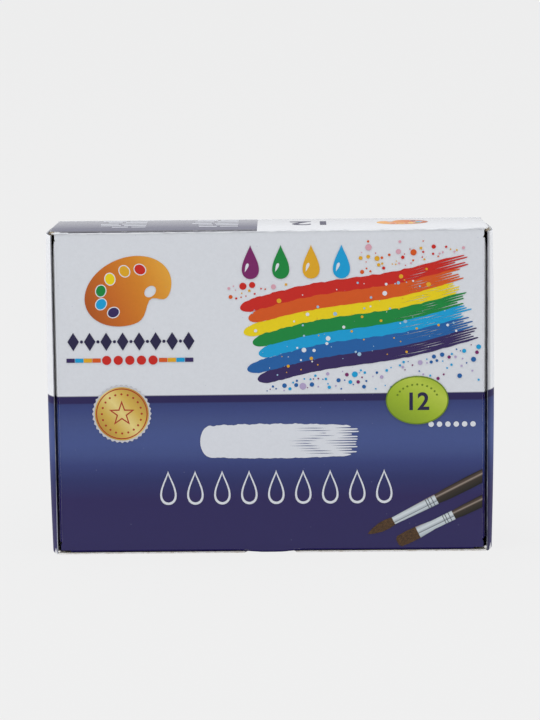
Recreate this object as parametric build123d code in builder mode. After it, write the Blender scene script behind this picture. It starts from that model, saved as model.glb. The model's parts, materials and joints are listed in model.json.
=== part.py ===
from build123d import *
import os
from math import asin, degrees, radians, sin

os.makedirs("parts", exist_ok=True)

# A folding paperboard carton with a hinged tuck-in lid, holding screw-capped jars of gouache.
# It stands on its front wall, the wall that the lid tucks into, with the lid facing -Y.
# X is the width, Y runs from the lid back to the base panel, and Z is up towards the lid's crease.
# The origin is at the middle of the footprint. All sizes are in millimetres.

# Jars: how many, and the room between neighbours
jar_columns = 4
jar_rows = 3
column_gap = 1.2
row_gap = 0.9

# Cap: a ribbed cup with a plug ring that seals the mouth
cap_diameter = 39.4
cap_top = 1.2
cap_wall = 1.2
cap_edge_radius = 1.2
cap_dish_depth = 0.5
cap_dish_slope = 0.6
cap_rim_width = 2.6
cap_ribs = 36
rib_groove_radius = 0.55
rib_groove_depth = 0.4
rib_top_margin = 0.6
plug_height = 2.2
plug_wall = 0.7

# Jar: a moulded cup with a shoulder, a thread neck and a raised underside
jar_wall = 1.1
jar_body_play = 0.5
neck_clearance = 0.4
plug_clearance = 0.15
seal_gap = 0.1
jar_body_height = 23.1
shoulder_height = 0.9
neck_height = 10.6
cap_to_shoulder = 0.4
foot_recess = 2.5
foot_width = 3.0
foot_radius = 0.8
jar_floor = 1.2

# Paint in the jar: how far below the shoulder it is filled to
fill_gap = 0.3
paint_clearance = 0.05

# Thread: its lead, and how far a cap turns before it comes free
thread_lead = 3.0
unscrew_turn = 288.0

# Paperboard carton, and the room that its panels leave for each other and for the caps
board = 0.5
lid_to_cap = 0.5
base_to_jar = 0.2
top_to_cap = 0.5
ear_to_cap = 0.4
ear_to_flap = 0.3
flap_to_wall = 0.1
tuck_to_wall = 0.4
tuck_to_cap = 0.3
side_rim_setback = 0.2
front_rim_setback = 0.1
wall_bulge_middle = 2.9
wall_bulge_ends = 2.1
wall_bulge_depth = 9.0
panel_end_bulge = 1.0

# Lid: its tuck flap and its two side ears
tuck_length = 15.0
tuck_lean = 1.5
tuck_end_inset = 4.0
tuck_corner_radius = 7.0
ear_depth = 12.0
ear_hinge_gap = 3.0
ear_hinge_taper = 39.0
ear_tuck_gap = 3.6
ear_tuck_taper = 6.0
ear_corner_radius = 3.0

# Thumb notch in the front wall, and the glue flaps at the four corners
notch_width = 20.2
notch_depth = 8.0
flap_length = 16.0
flap_rim_gap = 3.0
flap_taper = 4.0
flap_glue_start = 5.0
flap_corner_radius = 2.0

# Cap and jar sizes that follow from those
cap_radius = cap_diameter / 2
cap_bore_radius = cap_radius - cap_wall
neck_radius = cap_bore_radius - neck_clearance
mouth_radius = neck_radius - jar_wall
body_radius = cap_radius - jar_body_play
body_bore_radius = body_radius - jar_wall
plug_radius = mouth_radius - plug_clearance
mouth_plane = cap_top + seal_gap
neck_foot = mouth_plane + neck_height
shoulder_foot = neck_foot + shoulder_height
capped_height = shoulder_foot + jar_body_height
floor_plane = capped_height - foot_recess - jar_floor
cap_height = neck_foot - cap_to_shoulder
rib_start = cap_edge_radius + rib_top_margin
unscrew_travel = thread_lead * unscrew_turn / 360
column_pitch = cap_diameter + column_gap
row_pitch = cap_diameter + row_gap

# Carton widths, from the caps outwards
caps_half_width = ((jar_columns - 1) * column_pitch + cap_diameter) / 2
ear_inner = caps_half_width + ear_to_cap
lid_half_width = ear_inner + board
flap_inner = lid_half_width + ear_to_flap
panel_half_width = flap_inner + board
wall_inner = panel_half_width + flap_to_wall
wall_outer = wall_inner + board

# Carton heights, from the foot upwards
lid_bottom = board + tuck_to_wall
caps_bottom = lid_bottom + board + tuck_lean + tuck_to_cap
caps_top = caps_bottom + (jar_rows - 1) * row_pitch + cap_diameter
hinge_wall_under = caps_top + top_to_cap
box_height = hinge_wall_under + board

# Carton depths, from the lid back to the base panel
box_depth = board + lid_to_cap + capped_height + unscrew_travel + base_to_jar + board
lid_face = -box_depth / 2
lid_inside = lid_face + board
cap_face = lid_inside + lid_to_cap
side_rim = lid_face + side_rim_setback
front_rim = lid_face + front_rim_setback
base_inside = box_depth / 2 - board


def save(builder, name):
    """Labels a finished piece and writes it to its own file."""
    builder.part.label = name
    export_step(builder.part, f"parts/{name}.step")


def wall_bulge(height):
    """How far a side wall bows outwards at this height."""
    from_middle = 2 * height / box_height - 1
    return wall_bulge_ends + (wall_bulge_middle - wall_bulge_ends) * (1 - from_middle**2)


def bowed_line(x, bow, front):
    """A line from a front edge back to the base panel, which bows out most just behind the side walls' rims."""
    crest = side_rim + wall_bulge_depth
    TangentArc((x + bow, crest), (x, front), tangent=(0, -1))
    TangentArc((x + bow, crest), (x, base_inside), tangent=(0, 1))


def bowed_sheet(side, sections, inner):
    """Board from rim to base panel, lofted through sections: each is a height and how far it bows there."""
    inside = side * inner
    outside = side * (inner + board)
    with BuildPart() as sheet:
        for height, bow in sections:
            with BuildSketch(Plane.XY.offset(height)):
                with BuildLine():
                    bowed_line(outside, side * bow, side_rim)
                    Line((outside, base_inside), (inside, base_inside))
                    bowed_line(inside, side * bow, side_rim)
                    Line((inside, side_rim), (outside, side_rim))
                make_face()
        loft(ruled=len(sections) < 4)
    return sheet


def bowed_end(side, front):
    """The end of the hinge wall or front wall, which bows less than the side wall beside it."""
    bowed_line(side * panel_half_width, side * panel_end_bulge, front)


# Base panel: the floor of the tray, at the back of the standing box
with BuildPart() as base_panel:
    with BuildSketch(Plane.XZ.offset(-base_inside)):
        with Locations((0, box_height / 2)):
            Rectangle(2 * wall_outer, box_height)
    extrude(amount=-board)
save(base_panel, "base_panel")


# Hinge wall: the top of the standing box, whose front edge is the lid's crease
with BuildPart() as hinge_wall:
    with BuildSketch(Plane.XY.offset(hinge_wall_under)):
        with BuildLine():
            Line((-panel_half_width, lid_face), (panel_half_width, lid_face))
            bowed_end(1, lid_face)
            Line((panel_half_width, base_inside), (-panel_half_width, base_inside))
            bowed_end(-1, lid_face)
        make_face()
    extrude(amount=board)
save(hinge_wall, "hinge_wall")


# Front wall: the foot of the standing box, with a thumb notch in its rim
with BuildPart() as front_wall:
    with BuildSketch(Plane.XY):
        with BuildLine():
            Line((-panel_half_width, front_rim), (-notch_width / 2, front_rim))
            ThreePointArc(
                (-notch_width / 2, front_rim), (0, front_rim + notch_depth), (notch_width / 2, front_rim)
            )
            Line((notch_width / 2, front_rim), (panel_half_width, front_rim))
            bowed_end(1, front_rim)
            Line((panel_half_width, base_inside), (-panel_half_width, base_inside))
            bowed_end(-1, front_rim)
        make_face()
    extrude(amount=board)
save(front_wall, "front_wall")


# Side walls, bowed outwards most at half their height
wall_spans = 4
wall_heights = [box_height * i / wall_spans for i in range(wall_spans + 1)]
for side, side_name in ((-1, "left"), (1, "right")):
    side_wall = bowed_sheet(side, [(height, wall_bulge(height)) for height in wall_heights], wall_inner)
    save(side_wall, f"side_wall_{side_name}")


# Glue flaps: folded from the ends of the hinge wall and the front wall, glued inside the side walls
flap_front = lid_face + flap_rim_gap
flap_back = base_inside - flap_rim_gap
for side, side_name in ((-1, "left"), (1, "right")):
    for crease, reach, wall_name in ((hinge_wall_under, -1, "hinge"), (board, 1, "front")):
        flap_end = crease + reach * flap_length
        glued_from = crease + reach * flap_glue_start
        flap_sections = (
            (crease, panel_end_bulge),
            (glued_from, wall_bulge(glued_from)),
            (flap_end, wall_bulge(flap_end)),
        )
        flap_sheet = bowed_sheet(side, flap_sections, flap_inner)
        with BuildPart() as glue_flap:
            add(flap_sheet.part)
            with BuildSketch(Plane.YZ):
                with BuildLine():
                    Polyline(
                        (flap_front, crease),
                        (flap_front + flap_taper, flap_end),
                        (flap_back - flap_taper, flap_end),
                        (flap_back, crease),
                        close=True,
                    )
                make_face()
                free_corners = vertices().filter_by_position(Axis.Y, flap_end, flap_end)
                fillet(free_corners, radius=flap_corner_radius)
            extrude(amount=side * 2 * wall_outer, mode=Mode.INTERSECT)
        save(glue_flap, f"glue_flap_{wall_name}_{side_name}")


# Lid panel: it turns about the front edge of the hinge wall
with BuildPart() as lid_panel:
    with BuildSketch(Plane.XZ.offset(-lid_inside)):
        with Locations((0, (lid_bottom + hinge_wall_under) / 2)):
            Rectangle(2 * lid_half_width, hinge_wall_under - lid_bottom)
    extrude(amount=board)
save(lid_panel, "lid_panel")


# Tuck flap: it slides in over the front wall, leaning towards the caps so that it clears the rim
lean_angle = degrees(asin(tuck_lean / tuck_length))
tuck_root = lid_inside + board * sin(radians(lean_angle))
tuck_half_width = lid_half_width - tuck_end_inset
tuck_plane = Plane((0, tuck_root, lid_bottom), x_dir=(1, 0, 0), z_dir=(0, 0, 1)).rotated((lean_angle, 0, 0))
with BuildPart() as lid_tuck_flap:
    with BuildSketch(tuck_plane):
        with Locations((0, tuck_length / 2)):
            Rectangle(2 * tuck_half_width, tuck_length)
        fillet(vertices().group_by(Axis.Y)[-1], radius=tuck_corner_radius)
    extrude(amount=board)
save(lid_tuck_flap, "lid_tuck_flap")


# Ears: folded back from the lid's side edges, between the end caps and the glue flaps
ear_far = lid_inside + ear_depth
ear_top = hinge_wall_under - ear_hinge_gap
ear_foot = lid_bottom + ear_tuck_gap
for side, side_name in ((-1, "left"), (1, "right")):
    with BuildPart() as lid_ear:
        with BuildSketch(Plane.YZ.offset(side * ear_inner)):
            with BuildLine():
                Polyline(
                    (lid_inside, ear_foot),
                    (ear_far, ear_foot + ear_tuck_taper),
                    (ear_far, ear_top - ear_hinge_taper),
                    (lid_inside, ear_top),
                    close=True,
                )
            make_face()
            fillet(vertices().group_by(Axis.X)[-1], radius=ear_corner_radius)
        extrude(amount=side * board)
    save(lid_ear, f"lid_ear_{side_name}")


# One cap, about the Y axis, with its outer face at Y = 0 and its open end towards +Y
dish_radius = cap_radius - cap_rim_width
with BuildPart() as cap_shape:
    with BuildSketch(Plane.XY):
        with BuildLine():
            Polyline(
                (0, cap_dish_depth),
                (dish_radius - cap_dish_slope, cap_dish_depth),
                (dish_radius, 0),
                (cap_radius - cap_edge_radius, 0),
            )
            RadiusArc(
                (cap_radius - cap_edge_radius, 0), (cap_radius, cap_edge_radius), -cap_edge_radius
            )
            Polyline(
                (cap_radius, cap_edge_radius),
                (cap_radius, cap_height),
                (cap_bore_radius, cap_height),
                (cap_bore_radius, cap_top),
                (plug_radius, cap_top),
                (plug_radius, cap_top + plug_height),
                (plug_radius - plug_wall, cap_top + plug_height),
                (plug_radius - plug_wall, cap_top),
                (0, cap_top),
                (0, cap_dish_depth),
            )
        make_face()
    revolve(axis=Axis.Y)
    with BuildSketch(Plane.XZ.offset(-rib_start)):
        with PolarLocations(cap_radius + rib_groove_radius - rib_groove_depth, cap_ribs):
            Circle(rib_groove_radius)
    extrude(amount=rib_start - cap_height, mode=Mode.SUBTRACT)


# One jar, in the same place as its cap
recess_radius = body_radius - foot_width
with BuildPart() as jar_shape:
    with BuildSketch(Plane.XY):
        with BuildLine():
            Polyline(
                (body_radius, capped_height - foot_radius),
                (body_radius, shoulder_foot),
                (neck_radius, neck_foot),
                (neck_radius, mouth_plane),
                (mouth_radius, mouth_plane),
                (mouth_radius, neck_foot),
                (body_bore_radius, shoulder_foot),
                (body_bore_radius, floor_plane),
                (0, floor_plane),
                (0, capped_height - foot_recess),
                (recess_radius, capped_height - foot_recess),
                (recess_radius, capped_height),
                (body_radius - foot_radius, capped_height),
            )
            RadiusArc(
                (body_radius - foot_radius, capped_height),
                (body_radius, capped_height - foot_radius),
                foot_radius,
            )
        make_face()
    revolve(axis=Axis.Y)


# The paint in it, a stiff paste that stays at the bottom of the jar however the box stands
paint_radius = body_bore_radius - paint_clearance
paint_bottom = floor_plane - paint_clearance
paint_depth = paint_bottom - shoulder_foot - fill_gap
with BuildPart() as paint_shape:
    with BuildSketch(Plane.XZ.offset(-paint_bottom)):
        Circle(paint_radius)
    extrude(amount=paint_depth)


# Every jar with its cap and its paint, numbered from the top left as the lid's side sees them
for number in range(jar_columns * jar_rows):
    row, column = divmod(number, jar_columns)
    x = (column - (jar_columns - 1) / 2) * column_pitch
    z = caps_top - cap_radius - row * row_pitch
    for kind, shape in (("jar", jar_shape), ("cap", cap_shape), ("paint", paint_shape)):
        with BuildPart() as placed:
            with Locations((x, cap_face, z)):
                add(shape.part)
        save(placed, f"{kind}_{number + 1:02d}")
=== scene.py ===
import json
import math
import random

import bmesh
import bpy
from mathutils import Euler, Matrix, Vector


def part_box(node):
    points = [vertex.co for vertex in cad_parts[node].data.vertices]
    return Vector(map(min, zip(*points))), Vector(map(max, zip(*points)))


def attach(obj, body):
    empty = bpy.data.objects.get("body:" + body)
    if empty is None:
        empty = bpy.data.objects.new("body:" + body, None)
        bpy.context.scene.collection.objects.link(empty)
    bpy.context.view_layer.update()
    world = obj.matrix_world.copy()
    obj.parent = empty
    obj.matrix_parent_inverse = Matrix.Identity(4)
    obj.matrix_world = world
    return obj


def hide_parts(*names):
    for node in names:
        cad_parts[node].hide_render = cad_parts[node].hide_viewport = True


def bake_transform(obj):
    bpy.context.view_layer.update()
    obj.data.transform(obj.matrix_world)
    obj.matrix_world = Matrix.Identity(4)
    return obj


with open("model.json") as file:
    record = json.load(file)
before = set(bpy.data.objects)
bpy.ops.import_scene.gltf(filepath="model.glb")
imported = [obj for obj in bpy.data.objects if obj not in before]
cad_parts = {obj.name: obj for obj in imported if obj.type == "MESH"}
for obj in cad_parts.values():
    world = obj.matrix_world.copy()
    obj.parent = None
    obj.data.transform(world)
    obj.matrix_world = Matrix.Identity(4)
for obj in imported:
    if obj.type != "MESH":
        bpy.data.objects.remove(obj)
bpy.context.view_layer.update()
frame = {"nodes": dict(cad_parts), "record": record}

# A folding paperboard box of gouache, standing on its front wall with the lid facing the viewer.
# Pieces are modelled in millimetres, in the frame's axes, and put in place in metres.
MM = 0.001
X_AXIS, Y_AXIS, Z_AXIS = Vector((1, 0, 0)), Vector((0, 1, 0)), Vector((0, 0, 1))

# Board, creases and the film of ink
board = 0.5
crease_radius = 0.7
flap_crease_radius = 0.7
crease_steps = 6
cut_edge_bevel, base_crease_bevel = 0.1, 0.24
ink_film = 0.02
# How board gets its thickness and its softened edges, as the modifiers' settings
board_ply = {"thickness": board, "offset": -1, "material_offset": 1, "material_offset_rim": 2}
soft_edge = {"segments": 2, "limit_method": "ANGLE", "angle_limit": math.radians(50)}
smooth_angle = math.radians(35)

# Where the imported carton's faces are
lid_low, lid_high = (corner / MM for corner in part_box("lid_panel"))
base_low, base_high = (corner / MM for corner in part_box("base_panel"))
ear_low, ear_high = (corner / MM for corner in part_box("lid_ear_right"))
wall_low, wall_high = (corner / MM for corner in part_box("side_wall_right"))
top_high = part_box("hinge_wall")[1] / MM
front_rim = (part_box("front_wall")[0] / MM).y
box_top = top_high.z
lid_face = lid_low.y
lid_bottom = lid_low.z
lid_half_width = lid_high.x
base_face = base_high.y
base_inside = base_low.y
wall_outer = base_high.x
wall_bulge_middle = wall_high.x - wall_outer
wall_bulge_ends = 2.1
wall_bulge_depth = 9.0
panel_half_width = 82.3
panel_end_bulge = top_high.x - panel_half_width
tuck_half_width = 77.5
notch_centre, notch_width, notch_depth = -0.5, 20.2, 8.0

# How the lid's crease has moved in handling
crease_sag = 0.03
crease_tilt = 0.0035
crease_roll = 2.0
# How far inside its packed width the lid ends, above and below its ears
lid_end_inset = 0.25
# How far the lid's face lies behind its packed place, all but at its foot
lid_set_back = 0.12
# How far the foot hangs below its packed place: the lid's, the walls', and the lid's over the notch
lid_foot_sag, foot_sag = 0.50, 0.42
notch_sag, notch_sag_half = 0.68, 8.5
side_wall_short = 1.2
ear_bulge, ear_bulge_reach = 2.0, 3.5

# The print's zones, from the foot up: a blue that fades, a navy stripe, and white above
blue_fade = [
    (5.0, "#2E285E"), (21.0, "#2C245C"), (28.5, "#2C3269"), (34.5, "#37427C"), (38.5, "#43528A"),
    (42.5, "#475791"), (47.0, "#475790"), (52.0, "#435188"), (56.0, "#394680"),
]
stripe_bottom, stripe_top = 58.35, 61.6
print_slope = 0.0025
# Each side wall: how much higher its print sits, its rubbed corner's place and height, and how bright the
# print is painted just behind the rim, a painted shade
side_wear_and_shade = {"left": (0.1, 1.1, 1.9, 1.0), "right": (0.7, 3.2, 2.2, 0.6)}
top_navy_end = -4.6
print_bleed = 4.0
lid_print_top = 121.8
print_edge = lid_half_width - 1.2
print_register = (0.25, 0.22)
print_ior = 1.38
# The printed wave, and the height of the row of drops above its left end
wave_left, wave_length, wave_height, wave_rise, wave_swing = -13.0, 91.0, 89.0, 9.5, 3.0
row_height = 112.0
amber = [(0.0, "#B4561A"), (0.35, "#D06F1E"), (0.7, "#E08B24"), (1.0, "#EDA93A")]

# The studio's light, in metres: even, stronger from both sides and behind, with a softbox above and in front
world_base, world_side, world_back = 0.42, 0.85, 0.30
softbox_power, softbox_size = 24, (2.4, 1.6)
softbox_place, softbox_aim = Vector((-0.3, -0.5, 1.9)), Vector((0, 0, 0.06))

# The photograph's view: the lens in millimetres, the camera's place in metres and its turn in degrees
camera_lens, camera_place, camera_turn = 138.0, (0.0061, -1.0575, 0.2398), (80.954, 0.572, 0.254)

# The twelve paints, in the order of their numbers
paint_codes = {
    "white": "#EDEDEA", "lemon_yellow": "#F2DF33", "golden_yellow": "#F2AE18", "orange": "#E5671C",
    "scarlet": "#CC2A1C", "carmine": "#9B1B38", "violet": "#562A80", "ultramarine": "#1F2F8C",
    "sky_blue": "#1F86C7", "emerald_green": "#0E7A4C", "umber_brown": "#5B3320", "black": "#1B1B1E",
}


# Material steps


def linear(code):
    """An sRGB hex colour as a linear RGBA colour."""
    channels = [int(code[i : i + 2], 16) / 255 for i in (1, 3, 5)]
    return [c / 12.92 if c <= 0.04045 else ((c + 0.055) / 1.055) ** 2.4 for c in channels] + [1.0]


def add(tree, kind, values=(), stops=(), **settings):
    """Adds a node with its settings, its values or links, and a ramp's stops, and gives its first output.

    The values name their sockets, or are listed in the order of the sockets that the node shows.
    """
    made = tree.nodes.new("ShaderNode" + kind)
    for name, value in settings.items():
        setattr(made, name, value)
    if not isinstance(values, dict):
        shown = [number for number, socket in enumerate(made.inputs) if socket.enabled]
        values = dict(zip(shown, values))
    for socket, value in values.items():
        if isinstance(value, bpy.types.NodeSocket):
            tree.links.new(value, made.inputs[socket])
        else:
            made.inputs[socket].default_value = value
    if stops:
        ramp = made.color_ramp
        while len(ramp.elements) < len(stops):
            ramp.elements.new(1.0)
        for element, (position, colour) in zip(ramp.elements, stops):
            element.position = position
            element.color = linear(colour)
    return next((socket for socket in made.outputs if socket.enabled), None)


def new_material(name):
    """A material with an empty node tree, and that tree."""
    material = bpy.data.materials.new(name)
    material.use_nodes = True
    material.node_tree.nodes.clear()
    return material, material.node_tree


def millimetres(tree, centre=(0, 0, 0), turn=(0, 0, 0), stretch=(1, 1, 1)):
    """The piece's own coordinates in millimetres, about a centre and turned in degrees."""
    return add(
        tree, "Mapping",
        {
            "Vector": add(tree, "TexCoord").node.outputs["Object"],
            "Location": [c * MM for c in centre],
            "Rotation": [math.radians(a) for a in turn],
            "Scale": [s * MM for s in stretch],
        },
        vector_type="TEXTURE",
    )


def axes(tree, **place_in):
    """The piece's own X, Y and Z in millimetres, one by one."""
    return add(tree, "SeparateXYZ", [millimetres(tree, **place_in)]).node.outputs


def surface(tree, **values):
    """Ends a material: a Principled shader with these values, names with _ for a space."""
    shader = add(tree, "BsdfPrincipled", {name.replace("_", " "): value for name, value in values.items()})
    add(tree, "OutputMaterial", [shader])


def toned(tree, colour, pattern, least, most):
    """A colour that a pattern makes darker and lighter, from the least to the most of it."""
    tone = add(
        tree, "MapRange",
        {"Value": pattern, "From Min": 0.3, "From Max": 0.7, "To Min": least, "To Max": most},
    )
    return add(tree, "VectorMath", [colour, tone], operation="SCALE")


def patchy(tree, noise, stops, strength, depth):
    """The colours of a noise, and the same noise as a relief of this strength and depth in millimetres."""
    patches = add(tree, "TexNoise", noise)
    relief = add(tree, "Bump", {"Height": patches, "Strength": strength, "Distance": depth * MM})
    return add(tree, "ValToRGB", [patches], stops), relief


def print_finish(tree, colour, roughness=0.34, bow=None, ior=print_ior, coat=0.0):
    """Ink on coated board under a thin varnish: faint mottle, a fine grain and a slow ripple in the gloss."""
    spots = millimetres(tree)
    mottle = add(tree, "TexNoise", {"Vector": spots, "Scale": 1 / 1.2, "Detail": 4.0, "Roughness": 0.6})
    inked = toned(tree, colour, mottle, 0.98, 1.02)
    # Lint and pinholes in the ink: one pale speck every few millimetres, under half a millimetre across
    cells = add(tree, "TexVoronoi", {"Vector": spots, "Scale": 1 / 5.5, "Randomness": 1.0})
    speck = add(
        tree, "MapRange", {"Value": cells, "From Min": 0.018, "From Max": 0.05, "To Min": 0.30, "To Max": 0.0}
    )
    specked = add(tree, "Mix", [speck, inked, linear("#8F93B4")], data_type="RGBA")
    ripple = add(tree, "TexNoise", {"Vector": spots, "Scale": 1 / 22, "Detail": 2.0})
    grain = add(tree, "TexNoise", {"Vector": spots, "Scale": 1 / 0.5, "Detail": 2.0})
    waves = {"Height": ripple, "Strength": 0.35, "Distance": 0.5 * MM}
    if bow:
        waves["Normal"] = bow
    slow = add(tree, "Bump", waves)
    fine = add(tree, "Bump", {"Height": grain, "Strength": 0.25, "Distance": 0.03 * MM, "Normal": slow})
    gloss = add(tree, "MapRange", {"Value": mottle, "To Min": roughness - 0.05, "To Max": roughness + 0.05})
    surface(
        tree, Base_Color=specked, Roughness=gloss, Normal=fine, IOR=ior, Coat_Weight=coat, Coat_Roughness=0.08
    )


def zone_colours(tree, rise=0.0, white="#E6E9EE"):
    """The print's colours by height: the blue fades from the foot up, then the stripe, then white."""
    x, _, z = axes(tree)
    lean = add(tree, "Math", [x, -print_slope, z], operation="MULTIPLY_ADD")
    lowered = add(tree, "Math", [lean, rise], operation="SUBTRACT")
    share = add(tree, "Math", [lowered, box_top], operation="DIVIDE")
    hair, stripe = 0.0008, "#231A54"
    stops = [(height / box_top, code) for height, code in blue_fade] + [
        (stripe_bottom / box_top - hair, "#333F77"),
        (stripe_bottom / box_top, stripe),
        (stripe_top / box_top - hair, stripe),
        (stripe_top / box_top, white),
    ]
    return add(tree, "ValToRGB", [share], stops)


def make_printed_board():
    """Folding boxboard, clay coated, offset printed and varnished: satin, with crisp edges between inks."""
    material, tree = new_material("printed_clay_coated_boxboard")
    print_finish(tree, zone_colours(tree))
    return material


def make_side_print(side_name):
    """The same board on a side wall: its print sits higher and its lower front corner is rubbed white. Its
    white is painted lighter than the lid's, as painted light, and the print just behind the right wall's rim
    is painted darker, as painted shade.
    """
    material, tree = new_material(f"printed_boxboard_of_the_{side_name}_side")
    rise, rub_place, rub_height, rim_shade_brightness = side_wear_and_shade[side_name]
    _, y, z = axes(tree)
    # The rubbed corner is a triangle
    beside = add(tree, "Math", [y, wall_low.y + rub_place], operation="SUBTRACT")
    away = add(tree, "Math", [beside], operation="ABSOLUTE")
    slope = add(tree, "Math", [away, 1.5, z], operation="MULTIPLY_ADD")
    rub = add(tree, "Math", [slope, rub_height], operation="LESS_THAN")
    # Painted light: the side walls' white is painted lighter than the same board's white on the lid, for the
    # brighter light on the sides
    inked = zone_colours(tree, rise, "#FAFBFD")
    colour = add(tree, "Mix", [rub, inked, linear("#F4F4F6")], data_type="RGBA")
    # Painted shade: the print is painted darker just behind the right wall's rim, where the curve of the
    # bowed wall falls into shade
    painted_rim_shade = add(
        tree, "MapRange",
        {"Value": y, "From Min": wall_low.y + 0.6, "From Max": wall_low.y + 2.2, "To Min": rim_shade_brightness},
    )
    handled = add(tree, "VectorMath", [colour, painted_rim_shade], operation="SCALE")
    print_finish(tree, handled, roughness=0.5, ior=1.16)
    return material


def make_crease_print():
    """The same board on a fold, where the varnish has cracked and gone dull."""
    material, tree = new_material("printed_boxboard_on_a_fold")
    surface(tree, Base_Color=zone_colours(tree), Roughness=0.8, IOR=1.08)
    return material


def make_top_print():
    """The same board on the top: navy ink on the left half and white coating on the right."""
    material, tree = new_material("printed_boxboard_of_the_top")
    x, y, _ = axes(tree)
    right = add(tree, "Math", [x, top_navy_end], operation="GREATER_THAN")
    halves = add(tree, "Mix", [right, linear("#262452"), linear("#E4E5E8")], data_type="RGBA")
    # Just behind the crease the ink is painted darker, a painted shade where the board dips into the crease,
    # and it is chipped to the white coating in places
    behind = add(
        tree, "MapRange",
        {"Value": y, "From Min": lid_face + 3.0, "From Max": lid_face + 4.8, "To Min": 1.0, "To Max": 0.0},
    )
    dark = add(tree, "Mix", [behind, halves, linear("#15132C")], data_type="RGBA")
    inked = add(tree, "Mix", [right, dark, halves], data_type="RGBA")
    chips = add(
        tree, "TexNoise",
        {"Vector": millimetres(tree, stretch=(2.4, 0.6, 0.6)), "Scale": 1.0, "Detail": 3.0, "Roughness": 0.7},
    )
    near = add(
        tree, "MapRange",
        {"Value": y, "From Min": lid_face + 1.5, "From Max": lid_face + 5.0, "To Min": 0.0, "To Max": -0.35},
    )
    at_end = add(
        tree, "MapRange", {"Value": x, "From Min": -80.0, "From Max": -74.0, "To Min": 0.14, "To Max": -0.02}
    )
    worn = add(tree, "Math", [chips, at_end])
    chipped = add(tree, "Math", [worn, near])
    wear_and_highlight_mask = add(tree, "Math", [chipped, 0.60], operation="GREATER_THAN")
    colour = add(tree, "Mix", [wear_and_highlight_mask, inked, linear("#E8E9EC")], data_type="RGBA")
    # The panel bulges a little between its creases
    across = add(
        tree, "MapRange", {"Value": y, "From Min": lid_face, "From Max": base_face, "To Min": -1.0}
    )
    squared = add(tree, "Math", [across, 2.0], operation="POWER")
    arch = add(tree, "Math", [1.0, squared], operation="SUBTRACT")
    bow = add(tree, "Bump", {"Height": arch, "Strength": 1.0, "Distance": 0.4 * MM})
    # The varnish is glossier towards the back
    gloss = add(tree, "MapRange", {"Value": y, "From Min": lid_face + 13, "From Max": base_face})
    print_finish(tree, colour, roughness=0.22, bow=bow, coat=gloss)
    return material


def make_flap_print():
    """The lid's folded edges: the print runs a few millimetres over the crease, then white."""
    material, tree = new_material("boxboard_flap_with_print_bleed")
    _, y, _ = axes(tree)
    inner = add(tree, "Math", [y, lid_face + print_bleed], operation="GREATER_THAN")
    colour = add(tree, "Mix", [inner, zone_colours(tree), linear("#E6E7EA")], data_type="RGBA")
    print_finish(tree, colour)
    return material


def make_board_back():
    """The uncoated inside of the board: pale grey, matte, with short fibres along its grain."""
    material, tree = new_material("uncoated_boxboard_back")
    clouds = add(tree, "TexNoise", {"Vector": millimetres(tree), "Scale": 1 / 9, "Detail": 5.0})
    base = add(tree, "ValToRGB", [clouds], [(0.3, "#CECBC3"), (0.7, "#D7D4CC")])
    along_grain = millimetres(tree, stretch=(0.35, 1.0, 2.6))
    fibres = add(
        tree, "TexNoise", {"Vector": along_grain, "Scale": 1 / 0.9, "Detail": 3.0, "Distortion": 1.2}
    )
    strand = add(
        tree, "MapRange", {"Value": fibres, "From Min": 0.60, "From Max": 0.72, "To Min": 0.0, "To Max": 0.45}
    )
    colour = add(tree, "Mix", [strand, base, linear("#A79F90")], data_type="RGBA")
    bump = add(tree, "Bump", {"Height": fibres, "Strength": 0.4, "Distance": 0.05 * MM})
    surface(tree, Base_Color=colour, Roughness=0.88, Normal=bump)
    return material


def make_board_core():
    """Cut edge of the board: a bright pulp core between the plies, with browner patches."""
    material, tree = new_material("cut_boxboard_core")
    colour, relief = patchy(
        tree, {"Vector": millimetres(tree), "Scale": 1 / 3.0, "Detail": 4.0, "Roughness": 0.7},
        [(0.42, "#F6F5F3"), (0.56, "#E6E2DC"), (0.72, "#BDB2A2")], strength=0.5, depth=0.1,
    )
    surface(tree, Base_Color=colour, Roughness=0.9, Normal=relief)
    return material


def make_worn_edge():
    """The printed edge where the ink has rubbed off a crease or corner: mostly white coating, some ink."""
    material, tree = new_material("rubbed_print_edge")
    rub = add(
        tree, "TexNoise", {"Vector": millimetres(tree), "Scale": 1 / 2.2, "Detail": 5.0, "Roughness": 0.7}
    )
    share = add(
        tree, "MapRange", {"Value": rub, "From Min": 0.42, "From Max": 0.60, "To Min": 0.15, "To Max": 0.85}
    )
    colour = add(tree, "Mix", [share, zone_colours(tree), linear("#DADADD")], data_type="RGBA")
    surface(tree, Base_Color=colour, Roughness=0.6)
    return material


def make_rim_core():
    """The side walls' cut rims: dark grey pulp, painted paler low down on the left as a painted highlight."""
    material, tree = new_material("dark_grey_cut_rim_with_painted_highlight")
    patches = add(
        tree, "TexNoise", {"Vector": millimetres(tree), "Scale": 1 / 5.0, "Detail": 3.0, "Roughness": 0.6}
    )
    grey = add(tree, "ValToRGB", [patches], [(0.40, "#5E606E"), (0.55, "#7C7E8A"), (0.70, "#A6A8B0")])
    # Painted highlight: the left rim is painted paler low down
    x, _, z = axes(tree)
    low = add(
        tree, "MapRange", {"Value": z, "From Min": 8.0, "From Max": 30.0, "To Min": 1.0, "To Max": 0.0}
    )
    left = add(tree, "Math", [x, 0.0], operation="LESS_THAN")
    wear_and_highlight_mask = add(tree, "Math", [low, left], operation="MULTIPLY")
    colour = add(tree, "Mix", [wear_and_highlight_mask, grey, linear("#C9CCD6")], data_type="RGBA")
    surface(tree, Base_Color=colour, Roughness=0.9)
    return material


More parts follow.
